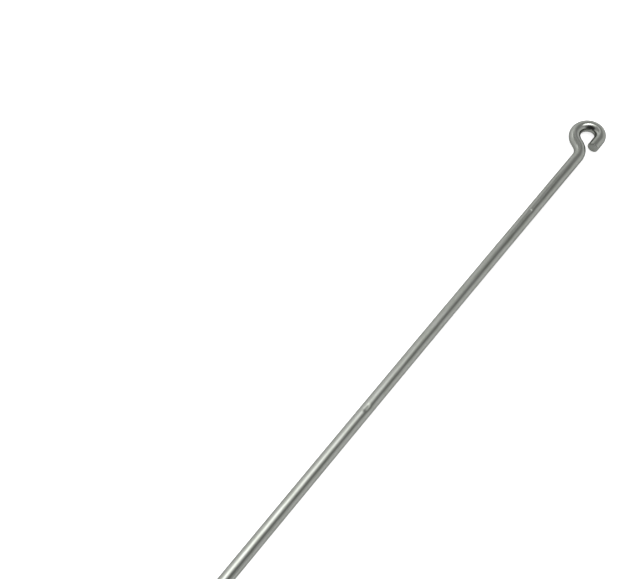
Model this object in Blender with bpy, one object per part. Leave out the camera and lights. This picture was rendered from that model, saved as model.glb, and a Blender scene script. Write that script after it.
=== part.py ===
"""Inoculating loop: a steel wire handle with a hanging eye, and a screw chuck that grips a nichrome loop.

Run it with: blender --background --python part.py

Units are metres. The tool lies along X on a bench at z = 0: the loop is at -X, the hanging eye at +X, and
+Z is up. The eye lies flat, parallel to the bench. Each piece is modelled about the tool's axis, with
lengthwise places measured from the chuck body's rear face, positive towards the eye and negative towards the
loop. The axis is then raised by the clamp nut's radius, and the whole tool's box is centred over the origin.
"""

import math

import bmesh
import bpy
from mathutils import Vector

MM = 0.001
TURN = 2 * math.pi
WELD = 0.0005 * MM  # points closer than this are one point

# Handle: one steel wire, straight, with an open hanging eye bent at the rear and a thread at the front.
ROD_RADIUS = 1.5 * MM
ROD_SIDES = 16
BEND_START = 160.2 * MM  # where the straight rod turns off into the eye
PLAIN_START = 3.6 * MM  # the rod's thread ends here, behind the lock nut
ROD_THREAD_LENGTH = 9.1 * MM
ROD_THREAD_OVERLAP = 0.4 * MM
NECK_RADIUS, NECK_TURN = 4.1 * MM, math.radians(60)
NECK_STRAIGHT = 1.0 * MM
EYE_WIDE_RADIUS, EYE_WIDE_TURN = 3.7 * MM, math.radians(134)
EYE_TIGHT_RADIUS, EYE_TIGHT_TURN = 2.8 * MM, math.radians(106)
EYE_TAIL = 3.0 * MM  # straight again, back alongside the rod, up to the cut end

# Threads: 60 degree ISO profiles, right-hand. CREST and ROOT are the ridge's radii on the male part, and
# MAJOR and MINOR the groove's on the female one. SLACK moves the flanks of the two apart.
M3_PITCH, M3_RADIUS = 0.5 * MM, 1.5 * MM
M3_CREST, M3_ROOT = 1.475 * MM, 1.19 * MM
M3_MAJOR, M3_MINOR = 1.555 * MM, 1.265 * MM
M3_SIDES = 12
M6_PITCH, M6_RADIUS = 0.75 * MM, 3.0 * MM
M6_CREST, M6_ROOT = 2.96 * MM, 2.53 * MM
M6_MAJOR, M6_MINOR = 3.05 * MM, 2.62 * MM
M6_SIDES = 16
MALE_SLACK, FEMALE_SLACK = -0.02 * MM, 0.03 * MM

# Lock nut: a thin hexagon nut that jams the chuck body on the rod.
SPANNER = 5.5 * MM  # across the flats, the same for the lock nut and the chuck body
LOCK_NUT_START, LOCK_NUT_THICKNESS = 0.1 * MM, 1.8 * MM
HEXAGON_CHAMFER = math.radians(30)
RIM_INSET = 0.05 * MM  # how far the chamfer's rim lies inside the flats

# Chuck body: its rear barrel screws on the rod, and its front has the clamp nut's thread and the collet seat.
BARREL_RADIUS, BARREL_LENGTH = 3.25 * MM, 8.0 * MM
BARREL_CHAMFER = 0.4 * MM
FLATS_START, FLATS_END = -2.2 * MM, -6.2 * MM
GROOVE_RADIUS, GROOVE_LENGTH = 2.5 * MM, 1.3 * MM
BODY_THREAD_START = -9.0 * MM
BODY_FRONT = -19.5 * MM
ROD_HOLE_DEPTH = 6.2 * MM
DRILL_POINT = 0.9 * MM
TAP_RUNOUT = 0.1 * MM  # plain hole between the end of the rod's thread and the drill point
WIRE_HOLE_RADIUS = 0.45 * MM
POCKET_BOTTOM = -9.2 * MM
GUIDE_RADIUS = 1.45 * MM
SEAT_START = -16.0 * MM
SEAT_MOUTH_RADIUS = 2.05 * MM

# Collet: four jaws cut by two crossed slits, closed by the seat behind and the nut's cone in front.
COLLET_SIDES = 16
COLLET_REAR = -12.3 * MM
COLLET_GAP = 0.05 * MM
COLLET_NOSE_START, COLLET_NOSE_RADIUS = -20.1 * MM, 2.1 * MM
COLLET_FACE_RADIUS = 1.05 * MM
COLLET_RELIEF_RADIUS, COLLET_RELIEF_END = 0.8 * MM, -15.0 * MM
SLIT_WIDTH, SLIT_END = 0.25 * MM, -13.8 * MM

# Spring: opens the chuck by pushing the collet out as the nut is undone.
SPRING_WIRE_RADIUS, SPRING_RADIUS = 0.15 * MM, 1.13 * MM
SPRING_TURNS, SPRING_SIDES, SPRING_STEPS = 4.5, 6, 12
SPRING_END_GAP = 0.06 * MM

# Clamp nut: knurled grip, cone inside the nose, and a plain skirt behind the thread.
NUT_REAR, NUT_FRONT = -10.6 * MM, -23.4 * MM
NUT_RADIUS = 4.0 * MM
NUT_EDGE = 0.45 * MM
KNURL_TEETH, KNURL_DEPTH = 24, 0.22 * MM
KNURL_REAR, KNURL_FRONT = -11.4 * MM, -18.4 * MM
NOSE_START, NOSE_START_RADIUS = -19.2 * MM, 3.6 * MM
NOSE_FACE_RADIUS = 2.1 * MM
SKIRT_BORE_RADIUS, SKIRT_BORE_END = 3.12 * MM, -13.6 * MM
NUT_THREAD_END = -19.3 * MM
NUT_CONE_GAP = 0.07 * MM
NUT_RELIEF = 0.01 * MM  # how much wider, in radius, the bore between thread and cone is than the thread's
NUT_HOLE_RADIUS = 1.05 * MM

# Loop wire: nichrome, straight from the chuck, round the loop, then wound back round its own stem.
WIRE_RADIUS = 0.25 * MM
WIRE_SIDES = 8
COLLET_BORE_RADIUS = 0.29 * MM
WIRE_REAR = -8.6 * MM
WIRE_REACH = 58.0 * MM  # from the nut's face to the loop's far side
LOOP_BORE_RADIUS = 2.0 * MM
LOOP_NECK_RADIUS = 1.0 * MM
WRAP_GAP = 0.035 * MM
WRAP_TURNS, WRAP_STEPS = 4, 14
WRAP_FIRST_PITCH, WRAP_PITCH = 1.5 * MM, 0.56 * MM

EXTRA = 1.0 * MM  # how far a cutter runs past the surface that it opens


def clear_scene():
    for obj in list(bpy.data.objects):
        bpy.data.objects.remove(obj, do_unlink=True)


def make_material(name, colour, roughness, metallic=1.0):
    material = bpy.data.materials.new(name)
    material.use_nodes = True
    shader = material.node_tree.nodes["Principled BSDF"]
    shader.inputs["Base Color"].default_value = (*colour, 1.0)
    shader.inputs["Roughness"].default_value = roughness
    shader.inputs["Metallic"].default_value = metallic
    return material


def make_object(name, bm, material=None):
    """Turns a bmesh into an object with its round faces shaded smooth. With no material it is a cutter."""
    bmesh.ops.remove_doubles(bm, verts=bm.verts, dist=WELD)
    bmesh.ops.recalc_face_normals(bm, faces=bm.faces)
    mesh = bpy.data.meshes.new(name)
    bm.to_mesh(mesh)
    bm.free()
    mesh.shade_smooth()
    mesh.set_sharp_from_angle(angle=math.radians(35))
    obj = bpy.data.objects.new(name, mesh)
    bpy.context.scene.collection.objects.link(obj)
    if material:
        mesh.materials.append(material)
    else:
        obj.hide_render = True
        obj.display_type = "WIRE"
    return obj


def combine(obj, other, operation):
    """Adds an exact Boolean of another object, which is then only a helper."""
    modifier = obj.modifiers.new(f"{operation.lower()} {other.name}", "BOOLEAN")
    modifier.operation = operation
    modifier.solver = "EXACT"
    modifier.object = other
    return obj


def ring(bm, x, radii):
    """Points round the X axis, one for each radius in turn."""
    step = TURN / len(radii)
    return [bm.verts.new((x, r * math.cos(i * step), r * math.sin(i * step))) for i, r in enumerate(radii)]


def skin(bm, rings, closed=False):
    """Faces between neighbouring rings. Open rings end in flat caps; closed ones join last to first."""
    pairs = list(zip(rings, rings[1:]))
    if closed:
        pairs.append((rings[-1], rings[0]))
    else:
        bm.faces.new(rings[0])
        bm.faces.new(rings[-1])
    for near, far in pairs:
        for i in range(len(near)):
            j = (i + 1) % len(near)
            bm.faces.new((near[i], near[j], far[j], far[i]))


def turned(profile, sides, closed=False):
    """A solid turned about X from (x, radius) points. A closed profile makes a ring with a hole along X."""
    bm = bmesh.new()
    skin(bm, [ring(bm, x, [r] * sides) for x, r in profile], closed)
    return bm


def box(low, high):
    bm = bmesh.new()
    bmesh.ops.create_cube(bm, size=1.0)
    size = Vector(high) - Vector(low)
    bmesh.ops.scale(bm, vec=size, verts=bm.verts)
    bmesh.ops.translate(bm, vec=(Vector(low) + Vector(high)) / 2, verts=bm.verts)
    return bm


def swept(points, radius, sides):
    """A round wire along a path. Each ring turns with the path, so the wire doesn't twist."""
    bm = bmesh.new()
    side = Vector((0, 1, 0))
    rings = []
    for i, point in enumerate(points):
        along = (points[min(i + 1, len(points) - 1)] - points[max(i - 1, 0)]).normalized()
        side = (side - along * side.dot(along)).normalized()
        up = along.cross(side)
        angles = [TURN * k / sides for k in range(sides)]
        rings.append([bm.verts.new(point + radius * (math.cos(a) * side + math.sin(a) * up)) for a in angles])
    skin(bm, rings)
    return bm


def threaded_rod(start, end, pitch, nominal, root, crest, sides, slack):
    """A right-hand threaded rod along X. Its ridge rises in its first turn and sinks in its last.

    Ridges cross the XY plane at whole pitches from x = 0, so a thread and the groove it runs in are in step.
    """
    apex = nominal + pitch * math.sqrt(3) / 16  # where the flanks would meet
    half_root = (apex - root) * math.tan(math.radians(30)) + slack
    half_crest = (apex - crest) * math.tan(math.radians(30)) + slack
    first = math.ceil((start + half_root) / pitch)
    ridges = math.floor((end - half_root) / pitch) - first

    bm = bmesh.new()
    lines = []
    for j in range(sides):
        angle = TURN * j / sides
        places = [(start, root)]
        for k in range(ridges):
            turns = k + j / sides
            rise = max(0.0, min(1.0, turns, ridges - 1 / sides - turns))
            middle = (first + turns) * pitch
            top = root + (crest - root) * rise
            places += [(middle - half_root, root), (middle - half_crest, top)]
            places += [(middle + half_crest, top), (middle + half_root, root)]
        places.append((end, root))
        lines.append([bm.verts.new((x, r * math.cos(angle), r * math.sin(angle))) for x, r in places])
    for near, far in zip(lines, lines[1:]):
        for i in range(len(near) - 1):
            bm.faces.new((near[i], near[i + 1], far[i + 1], far[i]))
    # The last line meets the first one a pitch further on, which leaves a flat face at each end.
    near, far = lines[-1], lines[0]
    for i in range(1, len(near) - 6):
        bm.faces.new((near[i], near[i + 1], far[i + 5], far[i + 4]))
    bm.faces.new((near[0], near[1], *reversed(far[:6])))
    bm.faces.new((*near[-6:], far[-1], far[-2]))
    bm.faces.new([line[0] for line in lines])
    bm.faces.new([line[-1] for line in lines])
    return bm


class Path:
    """A centreline in the plane of the eye, drawn by going straight and by turning left or right."""

    def __init__(self, start, heading=0.0):
        self.points = [Vector((start, 0, 0))]
        self.heading = heading

    def straight(self, length):
        along = Vector((math.cos(self.heading), math.sin(self.heading), 0))
        self.points.append(self.points[-1] + length * along)

    def turn(self, radius, angle, step=math.radians(8)):
        """Turns by an angle, left if it is positive."""
        side = math.copysign(radius, angle)
        centre = self.points[-1] + side * Vector((-math.sin(self.heading), math.cos(self.heading), 0))
        steps = math.ceil(abs(angle) / step)
        for i in range(1, steps + 1):
            heading = self.heading + angle * i / steps
            self.points.append(centre - side * Vector((-math.sin(heading), math.cos(heading), 0)))
        self.heading += angle


def handle_path():
    """The rod's centreline from the thread's end to the eye's cut end."""
    path = Path(PLAIN_START)
    path.straight(BEND_START - PLAIN_START)
    path.turn(NECK_RADIUS, NECK_TURN)
    path.straight(NECK_STRAIGHT)
    path.turn(EYE_WIDE_RADIUS, -EYE_WIDE_TURN)
    path.turn(EYE_TIGHT_RADIUS, -EYE_TIGHT_TURN)
    path.straight(EYE_TAIL)
    return path.points


def loop_path():
    """The loop wire's centreline: stem, neck, loop, neck, and then the winding round the stem."""
    radius = LOOP_BORE_RADIUS + WIRE_RADIUS
    centre = NUT_FRONT - WIRE_REACH + LOOP_BORE_RADIUS + 2 * WIRE_RADIUS
    reach = radius + LOOP_NECK_RADIUS
    aside = 2 * WIRE_RADIUS + WRAP_GAP  # between the stem's and the winding's centrelines
    out = math.acos(LOOP_NECK_RADIUS / reach)  # the angle of the neck's bend away from the stem
    back = math.acos((LOOP_NECK_RADIUS + aside) / reach)
    path = Path(WIRE_REAR, heading=math.pi)
    path.straight(WIRE_REAR - (centre + reach * math.sin(out)))
    path.turn(LOOP_NECK_RADIUS, out, math.radians(15))
    path.turn(radius, -(math.pi + out + back), math.radians(9))
    path.turn(LOOP_NECK_RADIUS, back, math.radians(15))
    start = path.points[-1]
    points = path.points
    along = 0.0
    for i in range(1, WRAP_TURNS * WRAP_STEPS + 1):
        turns = i / WRAP_STEPS
        pitch = WRAP_PITCH + (WRAP_FIRST_PITCH - WRAP_PITCH) * max(0.0, 1 - turns / 0.75) ** 2
        along += pitch / WRAP_STEPS
        angle = TURN * turns
        points.append(Vector((start.x + along, start.y * math.cos(angle), start.y * math.sin(angle))))
    return points


def spring_path():
    rear = POCKET_BOTTOM - SPRING_WIRE_RADIUS - SPRING_END_GAP
    front = COLLET_REAR + SPRING_WIRE_RADIUS + SPRING_END_GAP
    steps = round(SPRING_TURNS * SPRING_STEPS)
    angles = [TURN * i / SPRING_STEPS for i in range(steps + 1)]
    rise = (front - rear) / steps
    return [
        Vector((rear + i * rise, SPRING_RADIUS * math.cos(a), SPRING_RADIUS * math.sin(a)))
        for i, a in enumerate(angles)
    ]


def make_handle_rod(material):
    rod = make_object("handle_rod", swept(handle_path(), ROD_RADIUS, ROD_SIDES), material)
    end = PLAIN_START + ROD_THREAD_OVERLAP
    thread = threaded_rod(
        PLAIN_START - ROD_THREAD_LENGTH, end, M3_PITCH, M3_RADIUS, M3_ROOT, M3_CREST, M3_SIDES, MALE_SLACK
    )
    return combine(rod, make_object("rod_thread", thread), "UNION")


def make_m3_tap(name, start, end):
    tap = threaded_rod(start, end, M3_PITCH, M3_RADIUS, M3_MINOR, M3_MAJOR, M3_SIDES, FEMALE_SLACK)
    return make_object(name, tap)


def make_lock_nut(material):
    front, rear = LOCK_NUT_START, LOCK_NUT_START + LOCK_NUT_THICKNESS
    corner = SPANNER / 2 / math.cos(math.radians(30))
    nut = make_object("lock_nut", turned([(front, corner), (rear, corner)], 6), material)
    rim = SPANNER / 2 - RIM_INSET
    drop = (corner - rim) * math.tan(HEXAGON_CHAMFER)
    lens = [(front, rim), (front + drop, corner), (rear - drop, corner), (rear, rim)]
    combine(nut, make_object("lock_nut_chamfer", turned(lens, ROD_SIDES * 2)), "INTERSECT")
    return combine(nut, make_m3_tap("lock_nut_tap", front - EXTRA, rear + EXTRA), "DIFFERENCE")


def make_chuck_body(material):
    chamfer = BARREL_CHAMFER
    barrel_end = -BARREL_LENGTH
    blank = [
        (0.0, BARREL_RADIUS - chamfer),
        (-chamfer, BARREL_RADIUS),
        (barrel_end + chamfer, BARREL_RADIUS),
        (barrel_end, BARREL_RADIUS - chamfer),
        (barrel_end, GROOVE_RADIUS),
        (barrel_end - GROOVE_LENGTH, GROOVE_RADIUS),
    ]
    body = make_object("chuck_body", turned(blank, M6_SIDES), material)
    thread = threaded_rod(
        BODY_FRONT, BODY_THREAD_START, M6_PITCH, M6_RADIUS, M6_ROOT, M6_CREST, M6_SIDES, MALE_SLACK
    )
    combine(body, make_object("body_thread", thread), "UNION")
    combine(body, make_m3_tap("rod_hole", -ROD_HOLE_DEPTH, EXTRA), "DIFFERENCE")
    cone = (SEAT_MOUTH_RADIUS - GUIDE_RADIUS) / (SEAT_START - BODY_FRONT)
    bore = [
        (-ROD_HOLE_DEPTH + DRILL_POINT, M3_ROOT),
        (-ROD_HOLE_DEPTH - TAP_RUNOUT, M3_ROOT),
        (-ROD_HOLE_DEPTH - DRILL_POINT, WIRE_HOLE_RADIUS),
        (POCKET_BOTTOM, WIRE_HOLE_RADIUS),
        (POCKET_BOTTOM, GUIDE_RADIUS),
        (SEAT_START, GUIDE_RADIUS),
        (BODY_FRONT - EXTRA, SEAT_MOUTH_RADIUS + cone * EXTRA),
    ]
    combine(body, make_object("body_bore", turned(bore, M6_SIDES)), "DIFFERENCE")
    reach = BARREL_RADIUS + EXTRA
    for side in (-1, 1):
        inner, outer = sorted((side * SPANNER / 2, side * reach))
        cutter = make_object(f"flat_{side:+d}", box((FLATS_END, inner, -reach), (FLATS_START, outer, reach)))
        combine(body, cutter, "DIFFERENCE")
    return body


def make_collet(material):
    seat_cone = (SEAT_MOUTH_RADIUS - GUIDE_RADIUS) / (SEAT_START - BODY_FRONT)
    face = COLLET_NOSE_START - (COLLET_NOSE_RADIUS - COLLET_FACE_RADIUS)
    tail_radius = GUIDE_RADIUS - COLLET_GAP
    outline = [
        (COLLET_REAR, COLLET_RELIEF_RADIUS),
        (COLLET_REAR, tail_radius),
        (SEAT_START, tail_radius),
        (COLLET_NOSE_START, tail_radius + seat_cone * (SEAT_START - COLLET_NOSE_START)),
        (face, COLLET_FACE_RADIUS),
        (face, COLLET_BORE_RADIUS),
        (COLLET_RELIEF_END, COLLET_BORE_RADIUS),
        (COLLET_RELIEF_END, COLLET_RELIEF_RADIUS),
    ]
    collet = make_object("collet", turned(outline, COLLET_SIDES, closed=True), material)
    half, reach = SLIT_WIDTH / 2, COLLET_NOSE_RADIUS + EXTRA
    slits = {
        "slit_upright": box((face - EXTRA, -half, -reach), (SLIT_END, half, reach)),
        "slit_level": box((face - EXTRA, -reach, -half), (SLIT_END, reach, half)),
    }
    for name, cutter in slits.items():
        combine(collet, make_object(name, cutter), "DIFFERENCE")
    return collet


def make_clamp_nut(material):
    stretches = [
        (NUT_REAR, NUT_RADIUS - NUT_EDGE, 0.0),
        (KNURL_REAR + NUT_EDGE, NUT_RADIUS, 0.0),
        (KNURL_REAR, NUT_RADIUS, KNURL_DEPTH),
        (KNURL_FRONT, NUT_RADIUS, KNURL_DEPTH),
        (KNURL_FRONT - NUT_EDGE, NUT_RADIUS - NUT_EDGE / 2, 0.0),
        (NOSE_START, NOSE_START_RADIUS, 0.0),
        (NUT_FRONT + NUT_EDGE, NOSE_FACE_RADIUS + NUT_EDGE / 2, 0.0),
        (NUT_FRONT, NOSE_FACE_RADIUS, 0.0),
    ]
    bm = bmesh.new()
    skin(bm, [ring(bm, x, [r, r - depth] * KNURL_TEETH) for x, r, depth in stretches])
    nut = make_object("clamp_nut", bm, material)
    tap_rear = SKIRT_BORE_END + 3 * M6_PITCH  # the groove is at full depth where the skirt's bore begins
    tap = threaded_rod(
        NUT_THREAD_END, tap_rear, M6_PITCH, M6_RADIUS, M6_MINOR, M6_MAJOR, M6_SIDES, FEMALE_SLACK
    )
    combine(nut, make_object("nut_tap", tap), "DIFFERENCE")
    cone_start = COLLET_NOSE_START - NUT_CONE_GAP + (M6_MINOR - COLLET_NOSE_RADIUS)
    hole = [
        (NUT_THREAD_END + M6_PITCH, M6_MINOR + NUT_RELIEF),
        (cone_start, M6_MINOR + NUT_RELIEF),
        (cone_start - (M6_MINOR - NUT_HOLE_RADIUS), NUT_HOLE_RADIUS),
        (NUT_FRONT - EXTRA, NUT_HOLE_RADIUS),
    ]
    combine(nut, make_object("nut_cone", turned(hole, M6_SIDES)), "DIFFERENCE")
    skirt = [(NUT_REAR + EXTRA, SKIRT_BORE_RADIUS), (SKIRT_BORE_END, SKIRT_BORE_RADIUS)]
    combine(nut, make_object("nut_skirt_bore", turned(skirt, M6_SIDES)), "DIFFERENCE")
    return nut


def make_collet_spring(material):
    return make_object("collet_spring", swept(spring_path(), SPRING_WIRE_RADIUS, SPRING_SIDES), material)


def make_loop_wire(material):
    return make_object("loop_wire", swept(loop_path(), WIRE_RADIUS, WIRE_SIDES), material)


def main():
    clear_scene()
    drawn_steel = make_material("drawn_steel", (0.52, 0.53, 0.51), 0.28)
    nickel_plate = make_material("nickel_plate", (0.72, 0.70, 0.66), 0.2)
    brass = make_material("brass", (0.72, 0.55, 0.28), 0.3)
    spring_steel = make_material("spring_steel", (0.42, 0.43, 0.44), 0.3)
    nichrome = make_material("nichrome", (0.36, 0.34, 0.32), 0.4)
    parts = [
        make_handle_rod(drawn_steel),
        make_lock_nut(nickel_plate),
        make_chuck_body(nickel_plate),
        make_collet_spring(spring_steel),
        make_collet(brass),
        make_clamp_nut(nickel_plate),
        make_loop_wire(nichrome),
    ]
    axis = bpy.data.objects.new("tool_axis", None)
    bpy.context.scene.collection.objects.link(axis)
    points = [vert.co for part in parts for vert in part.data.vertices]
    across = [(min(p[i] for p in points) + max(p[i] for p in points)) / 2 for i in (0, 1)]
    axis.location = (-across[0], -across[1], NUT_RADIUS)
    for obj in bpy.data.objects:
        if obj != axis:
            obj.parent = axis


main()
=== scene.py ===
"""The looks of the inoculating loop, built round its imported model.

The tool lies along X: the eye of its handle is at +X, the loop at -X. Lengthwise places are measured from
the chuck body's rear face, positive towards the eye and negative towards the loop. Sizes are in millimetres,
and MM turns them into the frame's metres.
"""

import math

import bmesh
import bpy
from mathutils import Matrix, Vector


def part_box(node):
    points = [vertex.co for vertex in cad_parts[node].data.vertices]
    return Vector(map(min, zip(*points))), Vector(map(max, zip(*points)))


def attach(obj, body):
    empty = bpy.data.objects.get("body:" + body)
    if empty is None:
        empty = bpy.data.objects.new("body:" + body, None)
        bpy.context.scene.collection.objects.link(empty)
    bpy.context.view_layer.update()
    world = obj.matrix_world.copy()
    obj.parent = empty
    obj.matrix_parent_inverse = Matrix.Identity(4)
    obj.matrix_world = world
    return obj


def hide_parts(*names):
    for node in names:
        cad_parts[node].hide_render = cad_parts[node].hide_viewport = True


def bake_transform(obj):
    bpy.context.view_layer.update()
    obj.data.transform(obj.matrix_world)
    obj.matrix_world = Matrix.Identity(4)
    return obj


MM = 0.001
TURN = 2 * math.pi
WELD = 0.0005  # vertices closer than this are merged

# Handle: one steel wire, threaded in front and bent into an open eye behind.
ROD_RADIUS = 1.5
THREAD_FRONT, THREAD_REAR = -5.5, 4.0
THREAD_FADE = (3.55, 3.95)  # where the thread widens into the plain rod
BEND_START = 160.2
NECK_RADIUS, NECK_TURN = 4.1, math.radians(60)
NECK_STRAIGHT = 1.0
EYE_WIDE_RADIUS, EYE_WIDE_TURN = 3.7, math.radians(134)
EYE_TIGHT_RADIUS, EYE_TIGHT_TURN = 2.8, math.radians(106)
EYE_TAIL = 3.0
ROD_BOW = 0.18  # how far the middle of the straight run bends towards +Y
SHEAR_LIP = 0.12  # how far the cut end's edge is rounded over
LIP_REACH = 4 * SHEAR_LIP  # the length with finer rings before the cut end
MARK_REACH = 2.0  # the length with finer rings on each side of a tool mark
MARK_END = 2  # a mark has faded out at this many of its half lengths and half widths
THREAD_STEP, ROD_STEP, MARK_STEP, NECK_STEP, TAIL_STEP, LIP_STEP = 0.03, 1.5, 0.06, 0.2, 0.3, 0.015
# Marks that a tool left: place, degrees round from +Y over the top, half length, half width, depth.
TOOL_MARKS = [
    (137.6, 84.0, 0.55, 0.42, 0.075),
    (70.5, 93.5, 0.95, 0.45, 0.10),
]

# Sides of the round pieces.
ROD_SIDES, BODY_SIDES, NUT_SIDES, COLLET_SIDES, SPRING_SIDES, WIRE_SIDES = 72, 96, 192, 64, 14, 20

# Threads: pitch, root radius, crest radius. The ridge's wave is cut off below and above RIDGE_CUT.
RIDGE_CUT = (0.12, 0.88)
M3 = (0.5, 1.19, 1.475)
M3_TAP = (0.5, 1.265, 1.555)
M6 = (0.75, 2.53, 2.96)
M6_TAP = (0.75, 2.62, 3.05)

# Lock nut.
SPANNER = 5.5
LOCK_NUT_FRONT, LOCK_NUT_REAR = 0.1, 1.9
CORNER_CONE = math.radians(30)  # the slope at which the hexagon's corners are turned off
CORNER_INSET, CORNER_TRIM = 0.05, 0.04
NUT_STEP = 0.04

# Chuck body.
BARREL_RADIUS, BARREL_END, BARREL_EDGE = 3.25, -8.0, 0.4
FLATS_START, FLATS_END, FLATS_STEP = -2.2, -6.2, 0.5
FLATS_RUN_IN, FLATS_RUN_OUT = 0.1, 0.12
GROOVE_RADIUS, GROOVE_FILLET, GROOVE_END = 2.5, 0.1, -9.0
BODY_FRONT, BODY_EDGE = -19.5, 0.03
BODY_THREAD_STEP = 0.04
ROD_HOLE_DEPTH, DRILL_POINT = 6.2, 0.9
POCKET_BOTTOM = -9.2
GUIDE_RADIUS, SEAT_START, SEAT_MOUTH_RADIUS = 1.45, -16.0, 2.05
WIRE_HOLE_RADIUS = 0.45

# Collet.
COLLET_REAR, COLLET_FACE = -12.3, -21.15
COLLET_NOSE_START, COLLET_NOSE_RADIUS = -20.1, 2.1
COLLET_FACE_RADIUS, COLLET_BORE_RADIUS = 1.05, 0.29
COLLET_TAIL_RADIUS, COLLET_TAIL_EDGE = 1.4, 0.08
COLLET_NOSE_EDGE, COLLET_FACE_EDGE, COLLET_BORE_EDGE = 0.05, 0.02, 0.05
COLLET_RELIEF_RADIUS, COLLET_RELIEF_END = 0.8, -15.0
SLIT_WIDTH, SLIT_END = 0.25, -13.8

SPRING_WIRE_RADIUS, SPRING_RADIUS, SPRING_TURNS = 0.15, 1.13, 4.5
SPRING_GAP = 0.06  # at each end
SPRING_STEPS = 40  # in a turn

# Clamp nut.
NUT_REAR, NUT_FRONT = -10.6, -23.4
NUT_RADIUS = 4.0
KNURL_REAR, KNURL_FRONT = -11.4, -18.4
KNURL_TEETH, KNURL_DEPTH, KNURL_POWER = 24, 0.22, 0.8
KNURL_FADE = (-0.3, 0.5)  # how far outside and inside its ends the knurl runs out
GRIP_REAR, GRIP_FRONT, GRIP_STEP = -11.1, -18.7, 0.1  # the part with fine rings, which holds the knurl
# Distances from the rear face, from the knurl's front end and from the front face, with the radii there.
NUT_REAR_CHAMFER = [(0.0, 3.5), (0.1, 3.62), (0.35, 3.93), (0.42, 3.97)]
NUT_SHOULDER = [(0.4, 3.95), (0.55, 3.7)]
NOSE_LIP = [(0.1, 2.13), (0.0, 2.04)]
NOSE_START, NOSE_START_RADIUS, NOSE_END, NOSE_END_RADIUS, NOSE_STEP = -19.2, 3.6, -22.95, 2.32, 0.25
NUT_BORE_EDGE, NUT_HOLE_EDGE = 0.1, 0.12
SKIRT_BORE_RADIUS, SKIRT_BORE_END = 3.12, -13.6
NUT_THREAD_END, NUT_THREAD_STEP, NUT_RELIEF = -19.3, 0.05, 0.01
NUT_CONE_START, NUT_CONE_END, NUT_HOLE_RADIUS = -19.65, -21.22, 1.05

# Loop wire.
WIRE_RADIUS, WIRE_LIP = 0.25, 0.03
WIRE_REAR = -8.6
WIRE_REACH = 58.0
LOOP_BORE_RADIUS, LOOP_NECK_RADIUS = 2.0, 1.0
WRAP_GAP, WRAP_TURNS = 0.035, 4
WRAP_FIRST_PITCH, WRAP_PITCH, WRAP_STEPS = 1.5, 0.56, 40
WRAP_SETTLED = 0.75  # turns after which the winding has its steady pitch

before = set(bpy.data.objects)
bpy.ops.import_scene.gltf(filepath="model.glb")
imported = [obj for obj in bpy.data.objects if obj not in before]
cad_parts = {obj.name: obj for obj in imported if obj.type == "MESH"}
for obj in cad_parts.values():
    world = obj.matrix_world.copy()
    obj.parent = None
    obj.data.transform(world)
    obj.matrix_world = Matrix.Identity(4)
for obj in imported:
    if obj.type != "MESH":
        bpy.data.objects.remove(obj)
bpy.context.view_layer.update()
AXIS = Vector((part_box("chuck_body")[1].x, (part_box("clamp_nut")[0].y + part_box("clamp_nut")[1].y) / 2,
               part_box("clamp_nut")[1].z / 2))  # the middle of the chuck body's rear face


# ---------------------------------------------------------------- camera, lights and floor

CAMERA_TILT = math.radians(65.06)  # below the horizon
CAMERA_TURN = math.radians(-50.24)
CAMERA_LENS = 49.67  # in millimetres, on the sensor's width
CAMERA_PLACE = (17.87, -26.65, 189.3)  # from AXIS

# The room's brightness against the sine of the height above the horizon.
ROOM = [(0.0, 1.0), (0.35, 0.95), (0.5, 0.85), (0.62, 0.66), (0.75, 0.36), (0.86, 0.27), (1.0, 0.27)]
DARK_CORNER = (-0.84, -0.47, 0.34)
CORNER_START, CORNER_FULL, CORNER_LIGHT = 0.33, 0.86, 0.05
# The long lamp's direction, half length across the tool, half width along it, and radiance.
LAMP = (0.0, 0.46, 0.89)
LAMP_HALF_LENGTH, LAMP_HALF_WIDTH = 0.38, 0.27
LAMP_RADIANCE = 3.2
# A panel over the far side of the eye's ring.
EYE_TOP = (170.5, 3.0, 1.0)
EYE_LAMP = (0.213, -0.217, 0.951)
EYE_LAMP_SIZE, EYE_LAMP_DISTANCE = 12.0, 25.0
EYE_LAMP_SPREAD = math.radians(34)
EYE_LAMP_POWER = 0.00014
# A card between the long lamp and the near side of the eye.
EYE_SIDE = (163.5, 3.8, 1.5)
FLAG = (0.0, 0.46, 0.89)
FLAG_SIZE, FLAG_DISTANCE = 30.0, 32.0
FLAG_GREY, FLAG_GLOW = 0.1, 0.5
# The table is lit through from below, so that it stays white behind the tool; its reflections show shadows.
TABLE_WHITE, TABLE_GLOW, TABLE_LIT = 0.8, 0.3, 0.8
TABLE_RADIUS = 3.0  # in metres


def place(x, y=0.0, z=0.0):
    """A point in the frame, from millimetres along, beside and above the tool's axis."""
    return AXIS + Vector((x, y, z)) * MM


def make_camera():
    camera = bpy.data.objects.new("camera", bpy.data.cameras.new("camera"))
    bpy.context.scene.collection.objects.link(camera)
    camera.location = place(*CAMERA_PLACE)
    camera.rotation_euler = (math.pi / 2 - CAMERA_TILT, 0, CAMERA_TURN)
    camera.data.lens = CAMERA_LENS
    camera.data.sensor_width = 36.0
    camera.data.clip_start = 0.005
    bpy.context.scene.camera = camera


def node(tree, kind, inputs=(), **settings):
    """A shader node with its settings, and with values or links for its inputs."""
    made = tree.nodes.new(kind)
    for key, value in settings.items():
        setattr(made, key, value)
    for key, value in dict(inputs).items():
        if isinstance(value, bpy.types.NodeSocket):
            tree.links.new(value, made.inputs[key])
        else:
            made.inputs[key].default_value = value
    return made


def ramp(tree, factor, stops):
    made = node(tree, "ShaderNodeValToRGB", {"Fac": factor})
    elements = made.color_ramp.elements
    while len(elements) < len(stops):
        elements.new(0.5)
    for element, (position, colour) in zip(elements, stops):
        element.position = position
        element.color = (*colour, 1.0)
    return made.outputs["Color"]


def grey(value):
    return (value, value, value)


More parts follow.
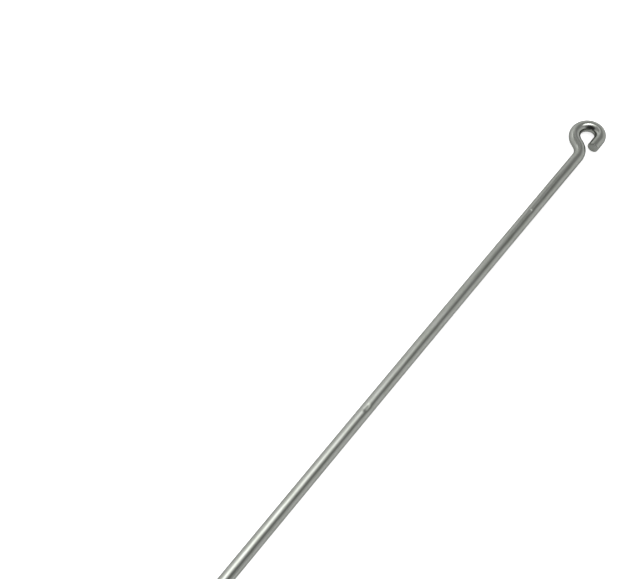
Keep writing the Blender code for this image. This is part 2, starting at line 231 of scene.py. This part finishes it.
def make_world():
    """A pale room with a dim ceiling, a long soft lamp overhead, and a dark corner behind the camera."""
    world = bpy.data.worlds.new("studio")
    world.use_nodes = True
    bpy.context.scene.world = world
    tree = world.node_tree
    tree.nodes.clear()

    def math_node(operation, first, second):
        return node(tree, "ShaderNodeMath", {0: first, 1: second}, operation=operation).outputs["Value"]

    def towards(vector):
        product = node(tree, "ShaderNodeVectorMath", {0: direction, 1: vector}, operation="DOT_PRODUCT")
        return product.outputs["Value"]

    direction = node(tree, "ShaderNodeTexCoord").outputs["Generated"]
    height = node(tree, "ShaderNodeSeparateXYZ", {"Vector": direction}).outputs["Z"]
    walls = ramp(tree, height, [(sine, grey(value)) for sine, value in ROOM])
    corner = node(tree, "ShaderNodeMapRange", {
        "Value": towards(Vector(DARK_CORNER).normalized()), "From Min": CORNER_START, "From Max": CORNER_FULL,
        "To Min": 1.0, "To Max": CORNER_LIGHT,
    }, interpolation_type="SMOOTHSTEP").outputs["Result"]
    room = math_node("MULTIPLY", walls, corner)
    lamp = Vector(LAMP).normalized()
    length_axis = lamp.cross((1, 0, 0)).normalized()
    width_axis = length_axis.cross(lamp)
    along = math_node("POWER", math_node("DIVIDE", towards(length_axis), LAMP_HALF_LENGTH), 2.0)
    across = math_node("POWER", math_node("DIVIDE", towards(width_axis), LAMP_HALF_WIDTH), 2.0)
    glow = math_node("POWER", 0.5, math_node("ADD", along, across))
    above = math_node("GREATER_THAN", height, 0.0)
    light = math_node("MULTIPLY", math_node("MULTIPLY", glow, above), LAMP_RADIANCE)
    total = math_node("ADD", room, light)
    background = node(tree, "ShaderNodeBackground", {"Color": total, "Strength": 1.0})
    output = node(tree, "ShaderNodeOutputWorld")
    tree.links.new(background.outputs["Background"], output.inputs["Surface"])


def make_eye_lamp():
    """A small panel with a grid, close over the eye: it lights the top of the ring and little else."""
    light = bpy.data.lights.new("eye_lamp", "AREA")
    light.shape = "SQUARE"
    light.size = EYE_LAMP_SIZE * MM
    light.spread = EYE_LAMP_SPREAD
    light.energy = EYE_LAMP_POWER
    panel = bpy.data.objects.new("eye_lamp", light)
    bpy.context.scene.collection.objects.link(panel)
    away = Vector(EYE_LAMP).normalized()
    panel.location = place(*EYE_TOP) + away * EYE_LAMP_DISTANCE * MM
    panel.rotation_euler = away.to_track_quat("Z", "Y").to_euler()
    panel.visible_camera = False


def make_flag():
    """A grey card that keeps the long lamp's reflection off the near side of the eye."""
    material = bpy.data.materials.new("grey_card")
    material.use_nodes = True
    shader = material.node_tree.nodes["Principled BSDF"]
    shader.inputs["Base Color"].default_value = (*grey(FLAG_GREY), 1.0)
    shader.inputs["Roughness"].default_value = 1.0
    shader.inputs["Specular IOR Level"].default_value = 0.0
    shader.inputs["Emission Color"].default_value = (*grey(1.0), 1.0)
    shader.inputs["Emission Strength"].default_value = FLAG_GLOW
    bm = bmesh.new()
    bmesh.ops.create_grid(bm, x_segments=1, y_segments=1, size=FLAG_SIZE / 2 * MM)
    mesh = bpy.data.meshes.new("flag")
    bm.to_mesh(mesh)
    bm.free()
    mesh.materials.append(material)
    flag = bpy.data.objects.new("flag", mesh)
    bpy.context.scene.collection.objects.link(flag)
    away = Vector(FLAG).normalized()
    flag.location = place(*EYE_SIDE) + away * FLAG_DISTANCE * MM
    flag.rotation_euler = away.to_track_quat("Z", "Y").to_euler()
    flag.visible_camera = False


def make_floor():
    """A white table, lit through. It rises a little, so that the eye and the clamp nut both touch it."""
    material = bpy.data.materials.new("white_table")
    material.use_nodes = True
    tree = material.node_tree
    shader = tree.nodes["Principled BSDF"]
    shader.inputs["Base Color"].default_value = (*grey(TABLE_WHITE), 1.0)
    shader.inputs["Roughness"].default_value = 0.9
    shader.inputs["Emission Color"].default_value = (*grey(1.0), 1.0)
    seen = node(tree, "ShaderNodeLightPath").outputs["Is Camera Ray"]
    glow = node(tree, "ShaderNodeMapRange", {"Value": seen, "To Min": TABLE_GLOW, "To Max": TABLE_LIT})
    tree.links.new(glow.outputs["Result"], shader.inputs["Emission Strength"])
    bm = bmesh.new()
    bmesh.ops.create_circle(bm, cap_ends=True, segments=96, radius=TABLE_RADIUS)
    mesh = bpy.data.meshes.new("table")
    bm.to_mesh(mesh)
    bm.free()
    mesh.materials.append(material)
    table = bpy.data.objects.new("table", mesh)
    bpy.context.scene.collection.objects.link(table)
    nut_x = (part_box("clamp_nut")[0].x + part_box("clamp_nut")[1].x) / 2
    eye_x, eye_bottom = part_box("handle_rod")[1].x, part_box("handle_rod")[0].z
    slope = eye_bottom / (eye_x - nut_x)
    table.location = (nut_x, 0, -0.02 * MM)
    table.rotation_euler = (0, -math.atan(slope), 0)


# ---------------------------------------------------------------- mesh tools


def finish_mesh(name, bm, material, body, cad_node, crease=35.0):
    """Turns a bmesh in tool millimetres into a piece that rides on a body and stands for a CAD node."""
    bmesh.ops.remove_doubles(bm, verts=bm.verts, dist=WELD)
    bmesh.ops.recalc_face_normals(bm, faces=bm.faces)
    bmesh.ops.transform(bm, matrix=Matrix.Translation(AXIS) @ Matrix.Scale(MM, 4), verts=bm.verts)
    mesh = bpy.data.meshes.new(name)
    bm.to_mesh(mesh)
    bm.free()
    mesh.shade_smooth()
    mesh.set_sharp_from_angle(angle=math.radians(crease))
    mesh.materials.append(material)
    piece = bpy.data.objects.new(name, mesh)
    bpy.context.scene.collection.objects.link(piece)
    if body:
        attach(piece, body)
    if cad_node:
        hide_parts(cad_node)
    return piece


def skin(bm, rings, closed=False):
    """Faces between neighbouring rings. Open rings end in flat caps; closed ones join last to first."""
    pairs = list(zip(rings, rings[1:]))
    if closed:
        pairs.append((rings[-1], rings[0]))
    else:
        bm.faces.new(rings[0])
        bm.faces.new(rings[-1])
    for near, far in pairs:
        for i in range(len(near)):
            j = (i + 1) % len(near)
            bm.faces.new((near[i], near[j], far[j], far[i]))


def turned(stations, sides, closed=False):
    """A solid turned about the axis from (x, radius) stations. A radius may be a function of the angle."""
    bm = bmesh.new()
    rings = []
    for x, radius in stations:
        points = []
        for i in range(sides):
            angle = TURN * i / sides
            r = radius(angle) if callable(radius) else radius
            points.append(bm.verts.new((x, r * math.cos(angle), r * math.sin(angle))))
        rings.append(points)
    skin(bm, rings, closed)
    return bm


def spaced(start, end, step):
    """Places from start to end, both included, no further apart than step."""
    count = max(1, math.ceil(abs(end - start) / step))
    return [start + (end - start) * i / count for i in range(count + 1)]


def smooth_step(low, high, value):
    t = max(0.0, min(1.0, (value - low) / (high - low)))
    return t * t * (3 - 2 * t)


def thread_radius(x, angle, thread, start, end):
    """The radius of a right-hand thread with rounded ridges, which fades within a pitch of both its ends."""
    pitch, root, crest = thread
    phase = (x / pitch - angle / TURN) % 1.0
    ridge = 0.5 + 0.5 * math.cos(TURN * phase)
    ridge = smooth_step(*RIDGE_CUT, ridge)
    fade = smooth_step(start, start + pitch, x) * smooth_step(-end, -end + pitch, -x)
    return root + (crest - root) * ridge * fade


def threaded(x, thread, start, end):
    return lambda angle: thread_radius(x, angle, thread, start, end)


class Path:
    """A centreline in the plane of the eye, drawn by straights and turns."""

    def __init__(self, start, heading=0.0):
        self.points = [Vector((start, 0, 0))]
        self.heading = heading

    def straight(self, length, step=None):
        along = Vector((math.cos(self.heading), math.sin(self.heading), 0))
        start = self.points[-1]
        for distance in spaced(0, length, step or length)[1:]:
            self.points.append(start + distance * along)

    def turn(self, radius, angle, step=math.radians(2.5)):
        side = math.copysign(radius, angle)
        centre = self.points[-1] + side * Vector((-math.sin(self.heading), math.cos(self.heading), 0))
        steps = math.ceil(abs(angle) / step)
        for i in range(1, steps + 1):
            heading = self.heading + angle * i / steps
            self.points.append(centre - side * Vector((-math.sin(heading), math.cos(heading), 0)))
        self.heading += angle


def swept(points, radius, sides):
    """A wire along a path. radius(distance, angle) gives its radius, and the angle 0 is on the +Y side.

    Each point keeps its place in the straightened wire in the attribute "wire", in millimetres.
    """
    bm = bmesh.new()
    layer = bm.verts.layers.float_vector.new("wire")
    side = Vector((0, 1, 0))
    distance = 0.0
    rings = []
    for i, point in enumerate(points):
        if i:
            distance += (point - points[i - 1]).length
        along = (points[min(i + 1, len(points) - 1)] - points[max(i - 1, 0)]).normalized()
        side = (side - along * side.dot(along)).normalized()
        up = along.cross(side)
        ring = []
        for k in range(sides):
            angle = TURN * k / sides
            r = radius(distance, angle)
            vert = bm.verts.new(point + r * (math.cos(angle) * side + math.sin(angle) * up))
            vert[layer] = Vector((distance, r * math.cos(angle), r * math.sin(angle)))
            ring.append(vert)
        rings.append(ring)
    skin(bm, rings)
    return bm


def end_rounding(distance, length, lip):
    """How much a wire's radius shrinks near its two ends, whose edges are rounded over a lip."""
    near = max(0.0, lip - min(distance, length - distance))
    return lip - math.sqrt(max(0.0, lip * lip - near * near))


def path_length(points):
    return sum((b - a).length for a, b in zip(points, points[1:]))


# ---------------------------------------------------------------- materials


def noise(tree, vector, scale, detail, roughness=0.5):
    made = node(tree, "ShaderNodeTexNoise", {
        "Vector": vector, "Scale": scale, "Detail": detail, "Roughness": roughness,
    })
    return made.outputs["Fac"]


def stretched(tree, vector, along, across):
    """The vector scaled by one number along the tool or wire and by another across it."""
    made = node(tree, "ShaderNodeMapping", {"Vector": vector, "Scale": (along, across, across)})
    return made.outputs["Vector"]


def mapped(tree, value, to_min, to_max, from_min=0.0, from_max=1.0):
    made = node(tree, "ShaderNodeMapRange", {
        "Value": value, "From Min": from_min, "From Max": from_max, "To Min": to_min, "To Max": to_max,
    })
    return made.outputs["Result"]


def wire_place(tree):
    return node(tree, "ShaderNodeAttribute", attribute_name="wire").outputs["Vector"]


def object_place(tree):
    return node(tree, "ShaderNodeTexCoord").outputs["Object"]


def metal(name, colour, roughness):
    material = bpy.data.materials.new(name)
    material.use_nodes = True
    shader = material.node_tree.nodes["Principled BSDF"]
    shader.inputs["Base Color"].default_value = (*colour, 1.0)
    shader.inputs["Roughness"].default_value = roughness
    shader.inputs["Metallic"].default_value = 1.0
    shader.inputs["Specular Tint"].default_value = (*grey(0.5), 1.0)
    return material, material.node_tree, shader


def make_drawn_steel():
    """Bright drawn wire: fine lines along its length, faint dull patches and a few pits."""
    material, tree, shader = metal("drawn_steel", (0.34, 0.35, 0.32), 0.2)
    wire = wire_place(tree)
    lines = noise(tree, stretched(tree, wire, 0.12, 9.0), 1.0, 5.0, 0.6)
    patches = noise(tree, stretched(tree, wire, 0.25, 0.9), 1.0, 4.0, 0.65)
    pits = noise(tree, stretched(tree, wire, 1.4, 2.2), 1.6, 3.0)
    colour = ramp(tree, patches, [
        (0.3, (0.29, 0.305, 0.27)), (0.5, (0.34, 0.352, 0.325)), (0.72, (0.37, 0.38, 0.36)),
    ])
    tree.links.new(colour, shader.inputs["Base Color"])
    tree.links.new(mapped(tree, lines, 0.13, 0.25, 0.3, 0.7), shader.inputs["Roughness"])
    bump = node(tree, "ShaderNodeBump", {"Height": lines, "Strength": 0.12, "Distance": 0.00002})
    waves = node(tree, "ShaderNodeBump", {"Height": pits, "Strength": 0.25, "Distance": 0.00003,
                                         "Normal": bump.outputs["Normal"]})
    tree.links.new(waves.outputs["Normal"], shader.inputs["Normal"])
    return material


def make_turned_metal(name, dark, light, roughness, lines=9000.0):
    """Metal turned on a lathe: rings round the axis, and small patches of dulling."""
    material, tree, shader = metal(name, light, roughness)
    spot = object_place(tree)
    rings = noise(tree, stretched(tree, spot, lines, 60.0), 1.0, 3.0)
    patches = noise(tree, spot, 700.0, 5.0, 0.6)
    tree.links.new(ramp(tree, patches, [(0.32, dark), (0.62, light)]), shader.inputs["Base Color"])
    rough = mapped(tree, patches, roughness * 1.4, roughness * 0.8, 0.35, 0.7)
    tree.links.new(rough, shader.inputs["Roughness"])
    bump = node(tree, "ShaderNodeBump", {"Height": rings, "Strength": 0.18, "Distance": 0.00002})
    tree.links.new(bump.outputs["Normal"], shader.inputs["Normal"])
    return material


def make_nichrome(loop_x, stem_x):
    """Nichrome wire: dark oxide at the loop, straw and blue tints behind it, bright grey near the chuck."""
    material, tree, shader = metal("nichrome", (0.4, 0.38, 0.35), 0.35)
    x = node(tree, "ShaderNodeSeparateXYZ", {"Vector": object_place(tree)}).outputs["X"]
    wire = wire_place(tree)
    shift = node(tree, "ShaderNodeMath", {0: noise(tree, wire, 1.3, 5.0), 1: 0.25, 2: -0.125},
                 operation="MULTIPLY_ADD").outputs["Value"]
    heat = node(tree, "ShaderNodeMath", {0: mapped(tree, x, 0.0, 1.0, loop_x, stem_x), 1: shift},
                operation="ADD").outputs["Value"]
    tint = ramp(tree, heat, [
        (0.0, (0.10, 0.095, 0.09)), (0.3, (0.13, 0.12, 0.115)), (0.42, (0.14, 0.16, 0.22)),
        (0.5, (0.24, 0.17, 0.19)), (0.58, (0.42, 0.31, 0.17)), (0.7, (0.42, 0.39, 0.34)),
        (1.0, (0.42, 0.41, 0.39)),
    ])
    tree.links.new(tint, shader.inputs["Base Color"])
    tree.links.new(mapped(tree, heat, 0.55, 0.28), shader.inputs["Roughness"])
    lines = noise(tree, stretched(tree, wire, 0.4, 22.0), 1.0, 3.0)
    bump = node(tree, "ShaderNodeBump", {"Height": lines, "Strength": 0.2, "Distance": 0.00001})
    tree.links.new(bump.outputs["Normal"], shader.inputs["Normal"])
    return material


# ---------------------------------------------------------------- pieces


def mark_depth(x, angle):
    """How deep the tool marks are at a place on the rod."""
    depth = 0.0
    for centre, degrees, half_length, half_width, deep in TOOL_MARKS:
        along = (x - centre) / half_length
        round_rod = (math.degrees(angle) - degrees + 180) % 360 - 180
        across = ROD_RADIUS * math.radians(round_rod) / half_width
        if abs(along) < MARK_END and abs(across) < MARK_END:
            depth += deep * math.exp(-(along ** 4)) * math.exp(-(across ** 2))
    return depth


def handle_points():
    path = Path(THREAD_FRONT)
    path.straight(THREAD_REAR - THREAD_FRONT, THREAD_STEP)
    here = THREAD_REAR
    for stop in sorted(centre for centre, *_ in TOOL_MARKS):
        path.straight(stop - MARK_REACH - here, ROD_STEP)
        path.straight(2 * MARK_REACH, MARK_STEP)
        here = stop + MARK_REACH
    path.straight(BEND_START - here, ROD_STEP)
    path.turn(NECK_RADIUS, NECK_TURN)
    path.straight(NECK_STRAIGHT, NECK_STEP)
    path.turn(EYE_WIDE_RADIUS, -EYE_WIDE_TURN)
    path.turn(EYE_TIGHT_RADIUS, -EYE_TIGHT_TURN)
    path.straight(EYE_TAIL - LIP_REACH, TAIL_STEP)
    path.straight(LIP_REACH, LIP_STEP)
    for point in path.points:
        if THREAD_REAR < point.x < BEND_START and point.y == 0:
            point.y = ROD_BOW * math.sin(math.pi * (point.x - THREAD_REAR) / (BEND_START - THREAD_REAR))
    return path.points


def make_handle(material):
    points = handle_points()
    length = path_length(points)

    def radius(distance, angle):
        x = THREAD_FRONT + distance
        if x < THREAD_REAR:
            body = thread_radius(x, angle, M3, THREAD_FRONT, THREAD_REAR)
            return body + (ROD_RADIUS - body) * smooth_step(*THREAD_FADE, x)
        return ROD_RADIUS - mark_depth(x, angle) - end_rounding(distance, length, SHEAR_LIP)

    bm = swept(points, radius, ROD_SIDES)
    return finish_mesh("handle_wire", bm, material, "handle", "handle_rod")


def hexagon(angle):
    return SPANNER / 2 / math.cos(angle % (TURN / 6) - TURN / 12)


def make_lock_nut(material):
    corner = hexagon(0)
    stations = []
    for x in spaced(LOCK_NUT_FRONT, LOCK_NUT_REAR, NUT_STEP):
        from_face = min(x - LOCK_NUT_FRONT, LOCK_NUT_REAR - x)
        cone = SPANNER / 2 - CORNER_INSET + from_face / math.tan(CORNER_CONE)
        stations.append((x, lambda angle, cone=cone: min(hexagon(angle), cone, corner - CORNER_TRIM)))
    bore = [(x, threaded(x, M3_TAP, LOCK_NUT_FRONT - 1, LOCK_NUT_REAR + 1))
            for x in spaced(LOCK_NUT_REAR, LOCK_NUT_FRONT, NUT_STEP)]
    bm = turned(stations + bore, BODY_SIDES, closed=True)
    return finish_mesh("hexagon_lock_nut", bm, material, "handle", "lock_nut", 25)


def flat_sided(radius):
    """A round section with two flats for a spanner, facing +Y and -Y."""
    return lambda angle: min(radius, SPANNER / 2 / max(abs(math.cos(angle)), 0.01))


def make_chuck_body(material):
    edge, flats = BARREL_EDGE, flat_sided(BARREL_RADIUS)
    stations = [(0.0, BARREL_RADIUS - edge), (-edge, BARREL_RADIUS)]
    stations += [(x, BARREL_RADIUS) for x in (FLATS_START + FLATS_RUN_OUT, FLATS_START)]
    stations += [(x, flats) for x in spaced(FLATS_START - FLATS_RUN_IN, FLATS_END + FLATS_RUN_IN, FLATS_STEP)]
    stations += [(x, BARREL_RADIUS) for x in (FLATS_END, FLATS_END - FLATS_RUN_OUT)]
    stations += [(BARREL_END + edge, BARREL_RADIUS), (BARREL_END, BARREL_RADIUS - edge)]
    stations += [(BARREL_END, GROOVE_RADIUS + GROOVE_FILLET), (BARREL_END - GROOVE_FILLET, GROOVE_RADIUS)]
    stations += [(GROOVE_END, GROOVE_RADIUS)]
    stations += [(x, threaded(x, M6, BODY_FRONT, GROOVE_END))
                 for x in spaced(GROOVE_END - 0.05, BODY_FRONT + 0.02, BODY_THREAD_STEP)]
    stations += [(BODY_FRONT, M6[1] - BODY_EDGE), (BODY_FRONT, SEAT_MOUTH_RADIUS), (SEAT_START, GUIDE_RADIUS)]
    stations += [(POCKET_BOTTOM, GUIDE_RADIUS), (POCKET_BOTTOM, WIRE_HOLE_RADIUS)]
    stations += [(-ROD_HOLE_DEPTH - DRILL_POINT, WIRE_HOLE_RADIUS), (-ROD_HOLE_DEPTH, M3_TAP[1])]
    stations += [(x, threaded(x, M3_TAP, -ROD_HOLE_DEPTH, 1.0))
                 for x in spaced(-ROD_HOLE_DEPTH + 0.05, 0.0, BODY_THREAD_STEP)]
    bm = turned(stations, BODY_SIDES, closed=True)
    return finish_mesh("chuck_barrel", bm, material, "handle", "chuck_body", 28)


def make_clamp_nut(material):
    outside, inside = KNURL_FADE

    def knurled(x):
        fade = smooth_step(KNURL_FRONT + outside, KNURL_FRONT + inside, x)
        fade *= smooth_step(-KNURL_REAR + outside, -KNURL_REAR + inside, -x)
        depth = KNURL_DEPTH * fade
        return lambda angle: NUT_RADIUS - depth * (0.5 - 0.5 * math.cos(KNURL_TEETH * angle)) ** KNURL_POWER

    stations = [(NUT_REAR, SKIRT_BORE_RADIUS + NUT_BORE_EDGE)]
    stations += [(NUT_REAR - inset, radius) for inset, radius in NUT_REAR_CHAMFER]
    stations += [(x, knurled(x)) for x in spaced(GRIP_REAR, GRIP_FRONT, GRIP_STEP)]
    stations += [(KNURL_FRONT - inset, radius) for inset, radius in NUT_SHOULDER]
    for x in spaced(NOSE_START, NOSE_END, NOSE_STEP):
        t = (NOSE_START - x) / (NOSE_START - NOSE_END)
        stations.append((x, NOSE_START_RADIUS + (NOSE_END_RADIUS - NOSE_START_RADIUS) * t))
    stations += [(NUT_FRONT + inset, radius) for inset, radius in NOSE_LIP]
    stations += [(NUT_FRONT, NUT_HOLE_RADIUS + NUT_HOLE_EDGE), (NUT_FRONT + NUT_HOLE_EDGE, NUT_HOLE_RADIUS)]
    stations += [(NUT_CONE_END, NUT_HOLE_RADIUS), (NUT_CONE_START, M6_TAP[1] + NUT_RELIEF)]
    stations += [(NUT_THREAD_END, M6_TAP[1])]
    stations += [(x, threaded(x, M6_TAP, NUT_THREAD_END, SKIRT_BORE_END + 2))
                 for x in spaced(NUT_THREAD_END + 0.02, SKIRT_BORE_END, NUT_THREAD_STEP)]
    stations += [(SKIRT_BORE_END, SKIRT_BORE_RADIUS), (NUT_REAR - NUT_BORE_EDGE, SKIRT_BORE_RADIUS)]
    bm = turned(stations, NUT_SIDES, closed=True)
    return finish_mesh("knurled_nut", bm, material, "clamp_nut", "clamp_nut", 28)


def cut(piece, low, high):
    """Cuts a box, given in tool millimetres, out of a piece."""
    bm = bmesh.new()
    bmesh.ops.create_cube(bm, size=1.0)
    size = Vector(high) - Vector(low)
    bmesh.ops.scale(bm, vec=size, verts=bm.verts)
    bmesh.ops.translate(bm, vec=(Vector(low) + Vector(high)) / 2, verts=bm.verts)
    cutter = finish_mesh("cutter", bm, piece.data.materials[0], None, None)
    modifier = piece.modifiers.new("cut", "BOOLEAN")
    modifier.operation = "DIFFERENCE"
    modifier.solver = "EXACT"
    modifier.object = cutter
    mesh = bpy.data.meshes.new_from_object(piece.evaluated_get(bpy.context.evaluated_depsgraph_get()))
    piece.modifiers.clear()
    piece.data = mesh
    bpy.data.objects.remove(cutter)


def make_collet(material):
    face = COLLET_FACE
    outline = [
        (COLLET_REAR, COLLET_RELIEF_RADIUS), (COLLET_REAR, COLLET_TAIL_RADIUS - COLLET_TAIL_EDGE),
        (COLLET_REAR - COLLET_TAIL_EDGE, COLLET_TAIL_RADIUS), (SEAT_START, COLLET_TAIL_RADIUS),
        (COLLET_NOSE_START, COLLET_NOSE_RADIUS - 0.02),
        (COLLET_NOSE_START - COLLET_NOSE_EDGE, COLLET_NOSE_RADIUS - 0.06),
        (face, COLLET_FACE_RADIUS - COLLET_FACE_EDGE), (face, COLLET_BORE_RADIUS + COLLET_BORE_EDGE),
        (face + COLLET_BORE_EDGE, COLLET_BORE_RADIUS), (COLLET_RELIEF_END, COLLET_BORE_RADIUS),
        (COLLET_RELIEF_END, COLLET_RELIEF_RADIUS),
    ]
    bm = turned(outline, COLLET_SIDES, closed=True)
    piece = finish_mesh("collet_jaws", bm, material, "collet", "collet")
    half, reach = SLIT_WIDTH / 2, COLLET_NOSE_RADIUS + 1
    cut(piece, (face - 1, -half, -reach), (SLIT_END, half, reach))
    cut(piece, (face - 1, -reach, -half), (SLIT_END, reach, half))
    piece.data.set_sharp_from_angle(angle=math.radians(30))
    return piece


def make_spring(material):
    """The coil spring, which pushes the collet out of the body."""
    rear = POCKET_BOTTOM - SPRING_WIRE_RADIUS - SPRING_GAP
    front = COLLET_REAR + SPRING_WIRE_RADIUS + SPRING_GAP
    steps = round(SPRING_TURNS * SPRING_STEPS)
    points = []
    for i in range(steps + 1):
        angle = TURN * SPRING_TURNS * i / steps
        x = rear + (front - rear) * i / steps
        points.append(Vector((x, SPRING_RADIUS * math.cos(angle), SPRING_RADIUS * math.sin(angle))))
    bm = swept(points, lambda distance, angle: SPRING_WIRE_RADIUS, SPRING_SIDES)
    piece = finish_mesh("opening_spring", bm, material, None, "collet_spring")
    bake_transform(piece)
    return piece


def loop_points():
    """Stem, neck, loop, neck, and the winding round the stem."""
    radius = LOOP_BORE_RADIUS + WIRE_RADIUS
    centre = NUT_FRONT - WIRE_REACH + LOOP_BORE_RADIUS + 2 * WIRE_RADIUS
    reach = radius + LOOP_NECK_RADIUS
    aside = 2 * WIRE_RADIUS + WRAP_GAP
    out = math.acos(LOOP_NECK_RADIUS / reach)
    back = math.acos((LOOP_NECK_RADIUS + aside) / reach)
    path = Path(WIRE_REAR, heading=math.pi)
    path.straight(WIRE_REAR - (centre + reach * math.sin(out)), 0.5)
    path.turn(LOOP_NECK_RADIUS, out, math.radians(5))
    path.turn(radius, -(math.pi + out + back), math.radians(3))
    path.turn(LOOP_NECK_RADIUS, back, math.radians(5))
    start, points = path.points[-1], path.points
    along = 0.0
    for i in range(1, WRAP_TURNS * WRAP_STEPS + 1):
        turns = i / WRAP_STEPS
        pitch = WRAP_PITCH + (WRAP_FIRST_PITCH - WRAP_PITCH) * max(0.0, 1 - turns / WRAP_SETTLED) ** 2
        along += pitch / WRAP_STEPS
        angle = TURN * turns
        points.append(Vector((start.x + along, start.y * math.cos(angle), start.y * math.sin(angle))))
    return points


def make_loop_wire():
    points = loop_points()
    length = path_length(points)
    material = make_nichrome(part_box("loop_wire")[0].x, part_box("clamp_nut")[0].x)

    def radius(distance, angle):
        return WIRE_RADIUS - end_rounding(distance, length, WIRE_LIP)

    bm = swept(points, radius, WIRE_SIDES)
    return finish_mesh("nichrome_loop", bm, material, "loop", "loop_wire")


def main():
    bpy.context.scene.view_settings.view_transform = "Standard"
    make_camera()
    make_world()
    make_eye_lamp()
    make_flag()
    make_floor()
    make_handle(make_drawn_steel())
    nickel = make_turned_metal("nickel_plate", (0.55, 0.53, 0.49), (0.68, 0.66, 0.61), 0.22)
    make_lock_nut(nickel)
    make_chuck_body(nickel)
    make_clamp_nut(nickel)
    make_collet(make_turned_metal("turned_brass", (0.5, 0.36, 0.16), (0.74, 0.56, 0.29), 0.25))
    make_spring(make_turned_metal("spring_steel", (0.3, 0.3, 0.3), (0.42, 0.43, 0.44), 0.3, 800.0))
    make_loop_wire()


main()
